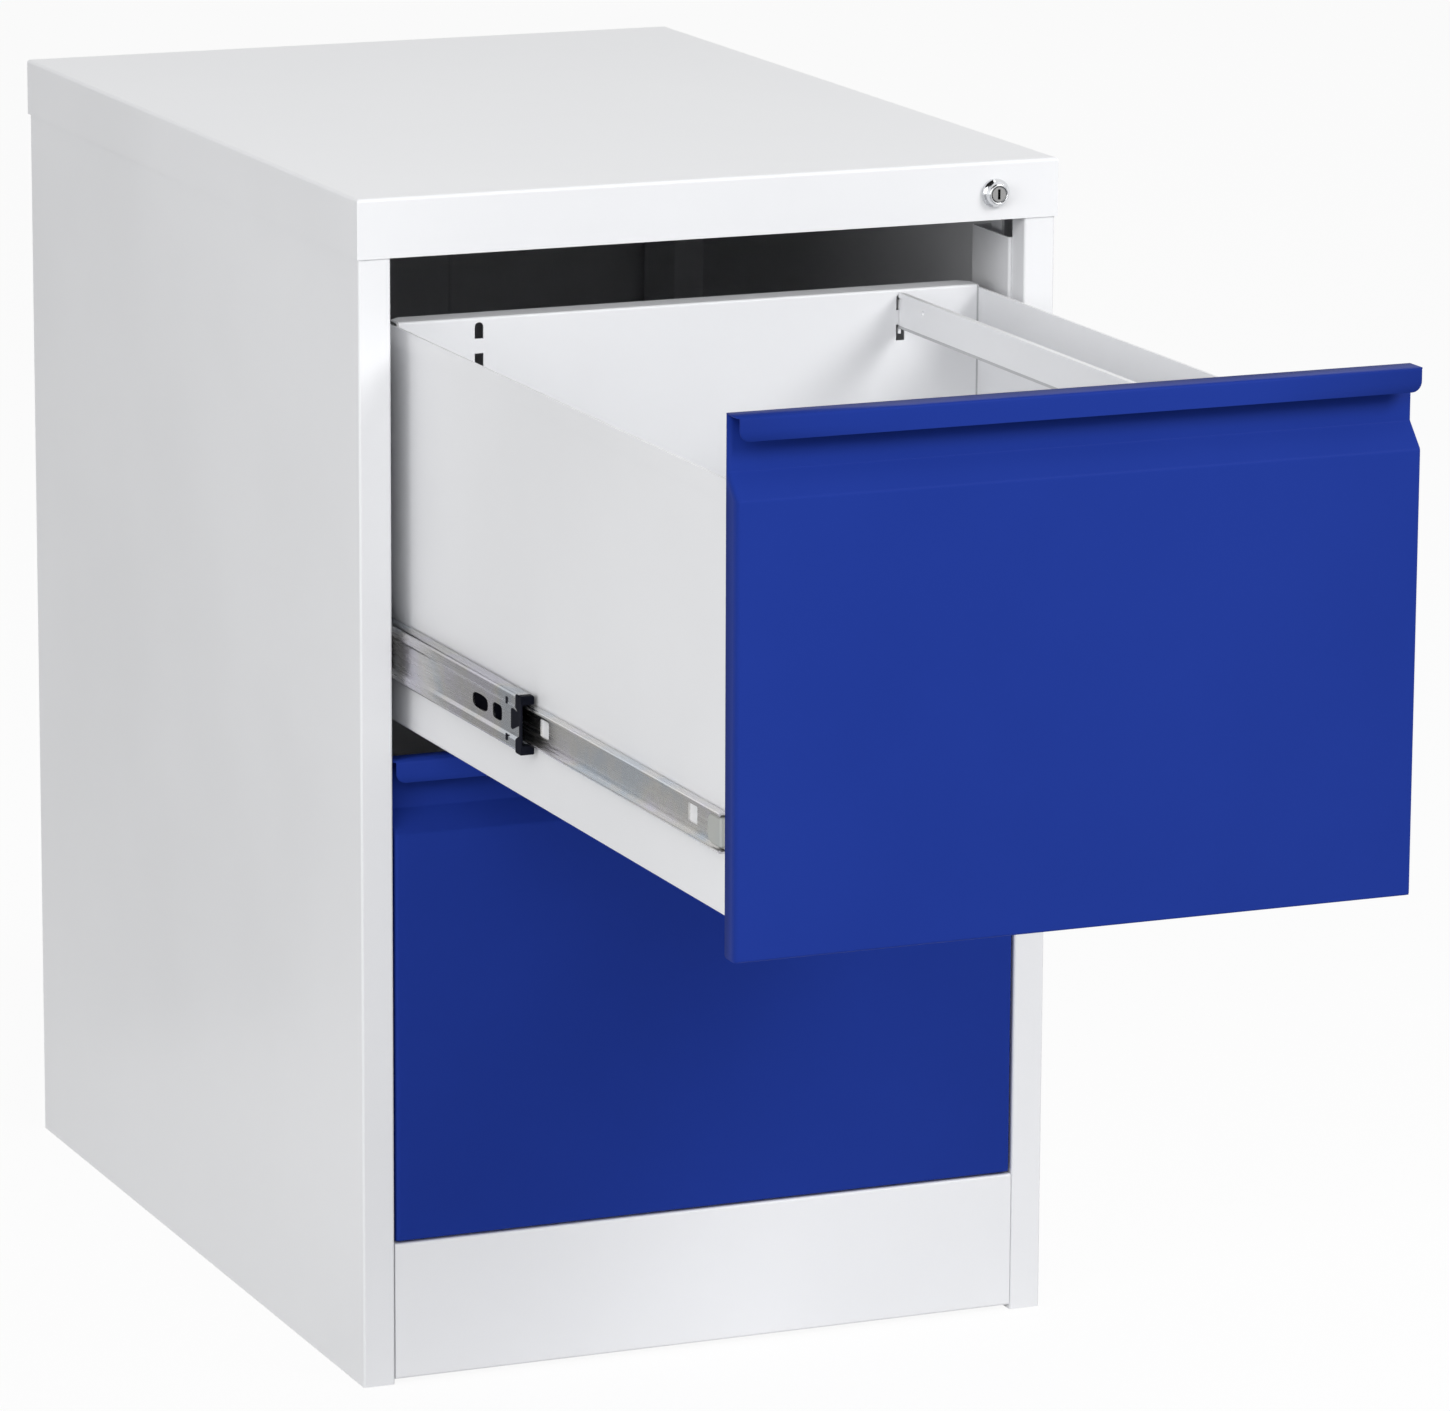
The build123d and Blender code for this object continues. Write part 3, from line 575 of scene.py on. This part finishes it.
def stationsFor(length, windows):
    # the two ends, and even stations over each window; also tells each window's columns
    marks, columns = [0.0], []
    for middle, halfLength, *_ in windows:
        reach = halfLength + windowGrid["margin"]
        columns.append((len(marks), len(marks) + windowGrid["columns"]))
        marks += np.linspace(middle - reach, middle + reach, windowGrid["columns"] + 1).tolist()
    marks.append(length)
    return np.array(marks), columns


def slideLine(values):
    # the upper half of the section, the web in even rows, and the upper half mirrored
    half, out, grid = values["half"], values["reach"], values["webGrid"]
    if "webU" in values:
        web, stepped = values["webU"], values["webU"] + values["stepDepth"]
        step = values["stepHalf"]
        corners = [(web, step + values["stepRun"]), (stepped, step), (stepped, grid)]
        radii = [values["lipRoll"], values["roll"], values["stepRoll"], values["stepRoll"]]
    else:
        web = values["backU"]
        corners = [(web, grid)]
        radii = [values["lipRoll"], values["roll"]]
    upper = roundedLine([(out, half - values["lip"]), (out, half), (web, half), *corners], radii)
    rows = np.linspace(grid, -grid, windowGrid["rows"] + 1)[1:-1]
    between = np.column_stack([np.full(len(rows), upper[-1, 0]), rows])
    line = np.concatenate([upper, between, upper[::-1] * (1, -1)])
    return line, (len(upper) - 1, len(upper) + len(rows))


def slideMember(values, length):
    # the section carried along the slide, its wall turned inwards on both kinds
    line, rows = slideLine(values)
    stations, columns = stationsFor(length, values["windows"])
    windows = [(*window, column) for window, column in zip(values["windows"], columns)]
    sign = 1 if "webU" in values else -1
    return channel(line, sign * values["wall"], stations, rows, windows)


def placedForms(forms, side, start, z):
    # P(u, y, v) = (side * (upright - u), start + y, z + v), in metres
    placed = []
    for points, *faceSets in forms:
        across = side * (uprightX - points[:, 0])
        points = np.column_stack([across, points[:, 1] + start, points[:, 2] + z]) / perMetre
        form = (points, *faceSets)
        placed.append(form if side < 0 else flipped(form))
    return placed


def slideHeight(level):
    low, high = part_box(f"{level}_left_middle_slide")
    return (low.z + high.z) / 2 * perMetre


def makeMiddleSlide(level, sideName, side):
    # the member with its tongues, and behind its windows the plate of the lever, near black as painted shade
    # for the dark inside of the slide
    node, body = f"{level}_{sideName}_middle_slide", f"{level}_middle_slides"
    low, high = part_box(node)
    start, z = low.y * perMetre, slideHeight(level)
    member = slideMember(middleMember, (high.y - low.y) * perMetre)
    ends = webTongues["from"], webTongues["to"]
    tongues = [plateForm(webTongues, *ends, *span) for span in webTongues["spans"]]
    addPiece(f"{level}{sideName.title()}MiddleSlide", placedForms([member, *tongues], side, start, z),
             "zinc", body, [node])
    half = leverPlate["half"]
    lever = plateForm(leverPlate, leverPlate["from"], leverPlate["to"], -half, half)
    addPiece(f"{level}{sideName.title()}SlideLever", placedForms([lever], side, start, z),
             "dark_plastic", body, look="lever")


def endTabForm():
    # square at the front, well rounded at the rear
    length, half = endTab["length"], endTab["half"]
    front, rear = endTab["frontCorner"], endTab["rearCorner"]
    corners = [(0, 0), (0, -half), (length, -half), (length, half), (0, half), (0, 0)]
    outline = roundedLine(corners, [front, rear, rear, front], steps=4)
    return cushion(outline[:-1], *endTab["u"], endTab["edge"])


def makeDrawerSlide(level, sideName, side):
    # the member and the tab at its front end
    node, body = f"{level}_{sideName}_drawer_slide", f"{level}_drawer"
    low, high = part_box(node)
    start, z = low.y * perMetre + drawerMember["frontTrim"], slideHeight(level)
    member = slideMember(drawerMember, high.y * perMetre - start)
    # the drawer member takes the lighter zinc: painted light
    addPiece(f"{level}{sideName.title()}DrawerSlide", placedForms([member], side, start, z),
             "zinc", body, [node], look="zinc_painted_light")
    addPiece(f"{level}{sideName.title()}SlideEndTab", placedForms([endTabForm()], side, start, z),
             "zinc", body, look="tab_steel")


bumperShape = {
    "front": 3.4, "back": 12.4, "half": 17.5, "throat": 12.1,
    "waistBack": 6.6, "waistHalf": 6.4, "shoulder": 9.2, "seam": 2.0,
    "notch": ((4.4, 0.0), (3.3, 0.9), (2.2, 0.0)),  # behind the front, below the top
    "radii": (1.0, 0.8, 0.6, 0.6, 0.8, 1.0, 0.4, 0.4, 0.4, 0.8, 0.8), "arcSteps": 3,
    "plate": {"u": (1.8, 3.0), "edge": 0.35},
    "block": {"u": (2.4, 10.4), "to": 10.0, "corner": 0.9, "edge": 0.5},
    "prong": {"u": (4.2, 10.0), "from": 9.0, "to": 14.0, "half": (15.1, 15.7), "corner": 0.25, "edge": 0.25},
    "slit": {"u": (1.85, 2.35), "from": 25.4, "to": 28.0, "half": (8.9, 13.0), "corner": 0.4, "edge": 0.1},
    "lug": {
        "u": (3.15, 3.9), "edge": 0.2, "radii": (0.6, 0.5, 0.5, 0.5, 0.5, 0.5, 0.3),
        "corners": (
            (5.4, 0.6), (10.0, -1.0), (21.0, -5.4), (22.8, -4.8),
            (22.8, 6.6), (21.4, 7.1), (15.6, 6.5), (5.4, 6.5),
        ),
    },
}


def bothWays(low, high):
    # the same span above and below the middle
    return (low, high), (-high, -low)


def bumperPlate():
    b = bumperShape
    front, back, half = b["front"], b["back"], b["half"]
    waist, waistHalf, shoulder = b["waistBack"], b["waistHalf"], b["shoulder"]
    seam = (front + b["seam"], -half)
    rear = [(back, -half), (back, -shoulder), (waist, -waistHalf)]
    rear += [(waist, waistHalf), (back, shoulder), (back, half)]
    notch = [(front + behind, half - below) for behind, below in b["notch"]]
    line = roundedLine([seam, *rear, *notch, (front, half), (front, -half), seam], b["radii"], b["arcSteps"])
    return cushion(line[:-1], *b["plate"]["u"], b["plate"]["edge"])


def bumperForms():
    # a side plate with a waist, a block above and below its throat, two prongs in the rail,
    # and on the rail's web a lug and the two slits it is held by
    block, prong, lug, slit = (bumperShape[key] for key in ("block", "prong", "lug", "slit"))
    forms = [bumperPlate()]
    for span in bothWays(bumperShape["throat"], bumperShape["half"]):
        forms.append(plateForm(block, bumperShape["front"], block["to"], *span))
    for span in bothWays(*prong["half"]):
        forms.append(plateForm(prong, prong["from"], prong["to"], *span))
    lugLine = roundedLine([*lug["corners"], lug["corners"][0]], lug["radii"], bumperShape["arcSteps"])
    forms.append(cushion(lugLine[:-1], *lug["u"], lug["edge"]))
    for span in bothWays(*slit["half"]):
        forms.append(plateForm(slit, slit["from"], slit["to"], *span))
    return forms


def makeBumpers(level):
    node = f"{level}_slide_bumpers"
    start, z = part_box(node)[0].y * perMetre, slideHeight(level)
    forms = [form for side in (-1, 1) for form in placedForms(bumperForms(), side, start, z)]
    addPiece(f"{level}SlideBumpers", forms, "dark_plastic", f"{level}_middle_slides", [node])


ballShape = {"radius": 2.0, "sides": 14, "rings": 9, "sharp": 180}


def makeBalls(level, race):
    # a ball in each of the eight corners of the node's box
    node = f"{level}_{race}_balls"
    low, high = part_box(node)
    radius = ballShape["radius"] / perMetre
    spans = [(a + radius, b - radius) for a, b in zip(low, high)]
    centres = np.stack(np.meshgrid(*spans, indexing="ij"), axis=-1).reshape(-1, 3)
    forms = [ball(centre, radius, ballShape["sides"], ballShape["rings"]) for centre in centres]
    addPiece(f"{level}{race.title()}Balls", forms, "ball_steel", f"{level}_{race}_cages", [node],
             sharp=ballShape["sharp"])


print("cabinet: slides")
for level in levels:
    for sideName, side in (("left", -1), ("right", 1)):
        makeMiddleSlide(level, sideName, side)
        makeDrawerSlide(level, sideName, side)
    makeBumpers(level)
    for race in ("outer", "inner"):
        makeBalls(level, race)


# lock

lockNose = {
    "sides": 64,
    "sharp": 50,
    "section": [  # radius, distance in front of the skirt
        (4.6, -18.0), (7.7, -18.0), (7.7, -0.05), (8.8, -0.05), (9.0, 0.2), (9.0, 2.0), (8.85, 2.35),
        (7.85, 3.35), (7.55, 3.5), (7.35, 3.8), (6.6, 6.1), (6.35, 6.65), (6.05, 6.9), (5.75, 7.0),
        (5.45, 6.95), (5.25, 6.75), (5.15, 6.2), (4.95, 6.0), (4.75, 5.9), (4.6, 5.5),
    ],
}


def makeLock():
    # the section is set so that its widest ring and its rear end are those of the barrel
    low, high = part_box("lock_barrel")
    radius, ahead = np.array(lockNose["section"]).T
    x, y = high.x * perMetre - radius.max(), high.y * perMetre + ahead.min()
    z = (low.z + high.z) / 2 * perMetre
    points, faces = turned(np.column_stack([radius, -ahead]), lockNose["sides"])
    points = (points + (x, y, z)) / perMetre
    addPiece("lockNose", [(points, faces)], "chrome", "cabinet", ["lock_barrel"], sharp=lockNose["sharp"])


print("cabinet: lock")
makeLock()


# drawer fronts

frontShape = {
    "half": 206.8, "height": 302.0, "depth": 16.5, "wall": 0.9,
    "recess": 13.0, "recessHeight": 32.0, "slope": 14.0,
    "lipDrop": 13.5, "lipCorner": 6.0, "lipInset": 1.0, "lipTurnSteps": 9, "lipColumns": 5,
    "bottomReturn": 11.0, "bottomCorner": 5.0, "footInset": 0.4,
    "fold": 1.6, "slopeFold": 3.2, "sideFold": 2.6, "foldSteps": 6, "sharp": 40,
    "behind": (0, 60.0, 150.0),  # a point that every sheet of the front looks away from
}
frontTabs = {
    "stripWidth": 30.0, "fromSide": 22.0, "width": 14.0, "rise": 8.0, "places": (60.0, 225.0),
    "gap": 0.8, "root": 0.5, "corner": 0.2, "edge": 0.1,
}


def frontSkin():
    # S(s, t) = line(s) across the width; beside each side edge x = half - fold (1 - sin a),
    # depth = line depth + fold (1 - cos a), and then the side runs straight back to the rear edge,
    # which is cut by a circle near the bottom
    f = frontShape
    low = f["height"] - f["recessHeight"]
    corners = [(f["recess"], f["height"] - f["wall"]), (f["recess"], low), (0, low - f["slope"])]
    corners += [(0, 0), (f["bottomReturn"], 0)]
    line = roundedLine(corners, [f["slopeFold"] / 2, f["slopeFold"], f["fold"]], f["foldSteps"])[:-1]
    a, fold, corner = np.linspace(0, math.pi / 2, f["foldSteps"]), f["sideFold"], f["bottomCorner"]
    cutBack = corner - np.sqrt(np.maximum(0, corner**2 - np.maximum(0, corner - line[:, 1]) ** 2))
    x = np.concatenate([[0], f["half"] - fold + fold * np.sin(a), [f["half"]]])
    turn = np.concatenate([[0], fold * (1 - np.cos(a))])
    depth = line[:, :1] + turn
    rear = np.maximum((f["depth"] - cutBack)[:, None], depth[:, -1:])
    depth = np.concatenate([depth, rear], axis=1)
    height = np.broadcast_to(line[:, 1:], depth.shape)
    right = np.stack([np.broadcast_to(x, depth.shape), depth, height], axis=-1)
    sheet = np.concatenate([right[:, :0:-1] * (-1, 1, 1), right], axis=1)
    return sheet.reshape(-1, 3), gridFaces(*sheet.shape[:2])


def frontLip():
    # S(s, t) = (t * reach(s), line(s)): the finger pull, whose reach shrinks round a circle
    # at its lower corners
    f = frontShape
    top, r, turnSteps, columns = f["height"], f["lipCorner"], f["lipTurnSteps"], f["lipColumns"]
    corners = [(f["depth"], top), (0, top), (0, top - f["lipDrop"])]
    line = roundedLine(corners, [f["fold"]], f["foldSteps"])[:-1]
    turn = np.linspace(0, math.pi / 2, turnSteps)
    drop = np.column_stack([np.zeros(turnSteps), top - f["lipDrop"] + r - r * np.sin(turn)])
    line = np.concatenate([line, drop])
    reach = np.full(len(line), f["half"] - f["lipInset"])
    reach[-turnSteps:] -= r * (1 - np.cos(turn))
    reach[np.round(line[:, 0], 6) >= f["fold"]] = f["half"]
    t = np.linspace(-1, 1, columns)
    depth, height = np.repeat(line[:, :1], columns, 1), np.repeat(line[:, 1:], columns, 1)
    sheet = np.stack([reach[:, None] * t, depth, height], axis=-1)
    return sheet.reshape(-1, 3), gridFaces(*sheet.shape[:2])


def frontFoot():
    # P = (x, y, 0): the lower edge turned in under the front
    f = frontShape
    inner = f["half"] - f["footInset"]
    x, y = np.meshgrid([-inner, 0, inner], [f["fold"], f["bottomReturn"]], indexing="ij")
    return np.stack([x, y, 0 * x], axis=-1).reshape(-1, 3), gridFaces(*x.shape)


def tabForms():
    # on each side a strip behind the front's edge, and hook tabs that reach behind the inner front
    f, tabs = frontShape, frontTabs
    depth, wall = f["depth"], f["wall"]
    behind = depth + tabs["gap"]
    boxes = []
    for side in (-1, 1):
        x0, x1 = sorted((side * (f["half"] - wall), side * (f["half"] - tabs["stripWidth"])))
        boxes.append((x0, x1, depth - wall, depth, f["bottomCorner"], f["height"] - wall))
        middle, reach = f["half"] - tabs["fromSide"], tabs["width"] / 2
        x0, x1 = sorted((side * (middle - reach), side * (middle + reach)))
        for place in tabs["places"]:
            boxes.append((x0, x1, depth - tabs["root"], behind + wall, place, place + wall))
            boxes.append((x0, x1, behind, behind + wall, place, place + tabs["rise"]))
    corner, edge = tabs["corner"], tabs["edge"]
    return [cushion(rectangle(*span, corner, steps=1), x0, x1, edge) for x0, x1, *span in boxes]


def makeFront(level):
    node, body = f"{level}_drawer_front", f"{level}_drawer"
    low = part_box(node)[0]
    place = np.array([0, low.y * perMetre, low.z * perMetre])
    sheets = []
    for points, faces in (frontSkin(), frontLip(), frontFoot()):
        if not looksAway(points, faces, frontShape["behind"]):
            faces = faces[:, ::-1]
        sheets.append(((points + place) / perMetre, faces))
    skin = addPiece(f"{level}DrawerFront", sheets, "front_paint", body, [node], sharp=frontShape["sharp"])
    wall = skin.modifiers.new("wall", "SOLIDIFY")
    wall.thickness = frontShape["wall"] / perMetre
    wall.offset = -1
    tabs = [((points + place) / perMetre, *faceSets) for points, *faceSets in tabForms()]
    addPiece(f"{level}FrontTabs", tabs, "front_paint", body)


print("cabinet: drawer fronts")
for level in levels:
    makeFront(level)


# the room, in metres

room = {
    "ambient": 0.39,
    "floorColour": (0.72, 0.72, 0.72),
    "floorSide": 40.0,
    "floorDrop": 0.0004,
    "shadowShare": 0.08,  # how much of the lit floor the camera sees, the rest is plain white
}


def cameraSees(tree):
    # 1 for rays that come from the camera, a mirror or glass
    path = addNode(tree, "ShaderNodeLightPath", (-900, 300))
    first = addNode(tree, "ShaderNodeMath", (-700, 300), operation="MAXIMUM")
    second = addNode(tree, "ShaderNodeMath", (-500, 300), operation="MAXIMUM")
    tree.links.new(path.outputs["Is Camera Ray"], first.inputs[0])
    tree.links.new(path.outputs["Is Glossy Ray"], first.inputs[1])
    tree.links.new(first.outputs[0], second.inputs[0])
    tree.links.new(path.outputs["Is Transmission Ray"], second.inputs[1])
    return second.outputs[0]


def makeWorld():
    world = bpy.data.worlds.new("studioWorld")
    world.use_nodes = True
    tree = world.node_tree
    tree.nodes.clear()
    ambient = addNode(tree, "ShaderNodeBackground", (-200, 0))
    ambient.inputs["Color"].default_value = (1, 1, 1, 1)
    ambient.inputs["Strength"].default_value = room["ambient"]
    seen = addNode(tree, "ShaderNodeBackground", (-200, -200))
    seen.inputs["Color"].default_value = (1, 1, 1, 1)
    seen.inputs["Strength"].default_value = 1.0
    mix = addNode(tree, "ShaderNodeMixShader", (0, 0))
    output = addNode(tree, "ShaderNodeOutputWorld", (200, 0))
    tree.links.new(cameraSees(tree), mix.inputs["Fac"])
    tree.links.new(ambient.outputs[0], mix.inputs[1])
    tree.links.new(seen.outputs[0], mix.inputs[2])
    tree.links.new(mix.outputs[0], output.inputs["Surface"])
    bpy.context.scene.world = world


def floorFinish():
    # for the light a pale floor; for the camera white, with a small share of the floor's own shading,
    # so that the shadow stays
    material, tree = newMaterial("paleFloor")
    plain = addNode(tree, "ShaderNodeBsdfDiffuse", (-400, 0))
    plain.inputs["Color"].default_value = (*room["floorColour"], 1)
    shaded = addNode(tree, "ShaderNodeBsdfDiffuse", (-400, -200))
    shaded.inputs["Color"].default_value = (1, 1, 1, 1)
    white = addNode(tree, "ShaderNodeEmission", (-400, -400))
    white.inputs["Strength"].default_value = 1.0
    seen = addNode(tree, "ShaderNodeMixShader", (-200, -300))
    seen.inputs["Fac"].default_value = 1 - room["shadowShare"]
    mix = addNode(tree, "ShaderNodeMixShader", (0, 0))
    output = addNode(tree, "ShaderNodeOutputMaterial", (200, 0))
    tree.links.new(shaded.outputs[0], seen.inputs[1])
    tree.links.new(white.outputs[0], seen.inputs[2])
    tree.links.new(cameraSees(tree), mix.inputs["Fac"])
    tree.links.new(plain.outputs[0], mix.inputs[1])
    tree.links.new(seen.outputs[0], mix.inputs[2])
    tree.links.new(mix.outputs[0], output.inputs["Surface"])
    return material


def addSheet(name, corners, material):
    # one four-cornered face of the room
    mesh = bpy.data.meshes.new(name)
    mesh.from_pydata(corners, [], [(0, 1, 2, 3)])
    mesh.materials.append(material)
    sheet = bpy.data.objects.new(name, mesh)
    bpy.context.scene.collection.objects.link(sheet)
    return sheet


def makeFloor():
    half = room["floorSide"] / 2
    corners = [(-half, -half, 0), (half, -half, 0), (half, half, 0), (-half, half, 0)]
    floor = addSheet("studioFloor", corners, floorFinish())
    floor.location.z = -room["floorDrop"]


cards = {  # only mirrors see them, so that bright metal has something darker to show
    "greyCard": {
        "corners": ((-2.6, 0.5, 0.005), (-0.35, 0.5, 0.005), (-0.35, 1.6, 0.7), (-2.6, 1.6, 0.7)),
        "tone": 0.42,
    },
    "overheadCard": {
        "corners": ((-3.6, -3.4, 3.3), (0.4, -3.4, 3.3), (0.4, 0.6, 3.3), (-3.6, 0.6, 3.3)),
        "tone": 0.02,
    },
}


def makeCard(name, values):
    material, tree = newMaterial(name)
    glow = addNode(tree, "ShaderNodeEmission", (0, 0))
    glow.inputs["Color"].default_value = (values["tone"], values["tone"], values["tone"], 1)
    output = addNode(tree, "ShaderNodeOutputMaterial", (200, 0))
    tree.links.new(glow.outputs[0], output.inputs["Surface"])
    card = addSheet(name, values["corners"], material)
    card.visible_camera = card.visible_diffuse = card.visible_transmission = card.visible_shadow = False


lampAim = (0, -0.3, 0.4)
lamps = {
    "keyLamp": {"place": (2.6, -4.2, 3.4), "power": 132, "size": 2.0},
    "fillLamp": {"place": (-2.6, -4.2, 3.2), "power": 60, "size": 2.4},
    "sideLamp": {"place": (-4.6, -2.8, 1.6), "power": 75, "size": 2.4},
    "topLamp": {"place": (0.0, -1.2, 4.2), "power": 12, "size": 2.4},
}


def makeLamp(name, values):
    light = bpy.data.lights.new(name, "AREA")
    light.shape = "SQUARE"
    light.size = values["size"]
    light.energy = values["power"]
    lamp = bpy.data.objects.new(name, light)
    lamp.location = values["place"]
    away = Vector(values["place"]) - Vector(lampAim)
    lamp.rotation_mode = "QUATERNION"
    lamp.rotation_quaternion = away.to_track_quat("Z", "Y")
    bpy.context.scene.collection.objects.link(lamp)


print("cabinet: room and lamps")
makeWorld()
makeFloor()
for cardName, cardValues in cards.items():
    makeCard(cardName, cardValues)
for lampName, lampValues in lamps.items():
    makeLamp(lampName, lampValues)


# the camera, as the photograph was taken

viewpoint = {
    "place": (-1.8181, -4.6212, 1.4723),
    "yaw": 22.997,  # degrees to the right of straight back
    "pitch": 12.793,  # degrees below level
    "roll": 0.316,
    "lens": 193.88,
    "sensor": 36.0,
    "clip": (0.1, 100),
}


def makeCamera():
    yaw, pitch, roll = (math.radians(viewpoint[key]) for key in ("yaw", "pitch", "roll"))
    ahead = Vector((math.sin(yaw) * math.cos(pitch), math.cos(yaw) * math.cos(pitch), -math.sin(pitch)))
    level = Vector((math.cos(yaw), -math.sin(yaw), 0))
    upward = level.cross(ahead)
    across = math.cos(roll) * level + math.sin(roll) * upward
    above = -math.sin(roll) * level + math.cos(roll) * upward
    data = bpy.data.cameras.new("photoCamera")
    data.sensor_fit = "HORIZONTAL"
    data.sensor_width = viewpoint["sensor"]
    data.lens = viewpoint["lens"]
    data.clip_start, data.clip_end = viewpoint["clip"]
    camera = bpy.data.objects.new("photoCamera", data)
    turn = Matrix((across, above, -ahead)).transposed().to_4x4()
    camera.matrix_world = Matrix.Translation(viewpoint["place"]) @ turn
    bpy.context.scene.collection.objects.link(camera)
    bpy.context.scene.camera = camera


print("cabinet: camera")
makeCamera()
bpy.context.scene.view_settings.view_transform = "Standard"
